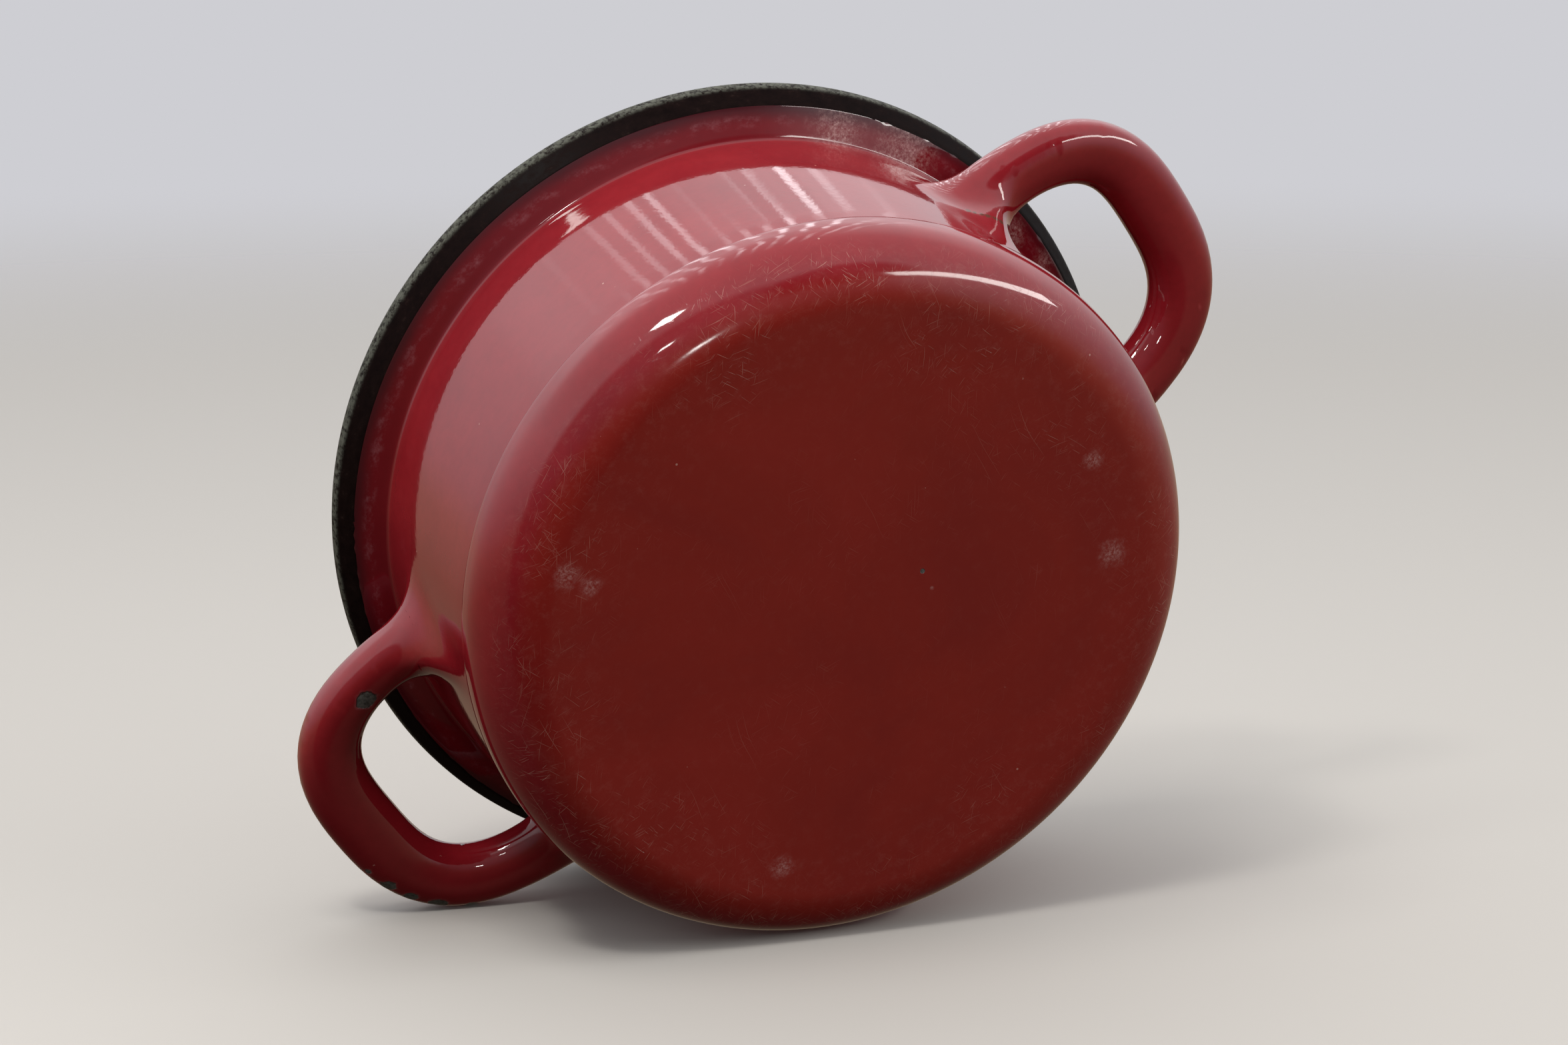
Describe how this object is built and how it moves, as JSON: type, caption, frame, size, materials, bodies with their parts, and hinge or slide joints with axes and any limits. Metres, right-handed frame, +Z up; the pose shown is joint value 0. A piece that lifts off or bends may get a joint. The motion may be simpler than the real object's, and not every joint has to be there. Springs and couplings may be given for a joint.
{
  "type": "enamelled_cast_iron_dutch_oven",
  "caption": "Round enamelled cast iron Dutch oven in burgundy, with two cast loop handles, a flared rim and a seated lid with a knob",
  "frame": {"origin": "centre of the pot's flat underside, on the pot's axis", "axes": "+Z up along the pot's axis, towards the lid; +X through the middle of one loop handle; +Y completes the right-handed frame"},
  "size_m": [0.295, 0.23, 0.1389],
  "materials": {
    "enamel": "gloss vitreous enamel, burgundy, with a black fired rim",
    "knob": "satin moulded phenolic",
    "brass": "machined",
    "steel": "zinc-plated fastener"
  },
  "bodies": {
    "pot": {"pot_body": "enamel"},
    "lid": {"lid": "enamel", "lid_knob": "knob", "knob_insert": "brass", "knob_screw": "steel", "knob_washer": "steel", "spring_washer": "steel"}
  },
  "joints": [
    {"name": "lid_lift", "type": "slide", "parent": "pot", "child": "lid", "axis": [0, 0, 1], "range_m": [0, 0.12]}
  ]
}
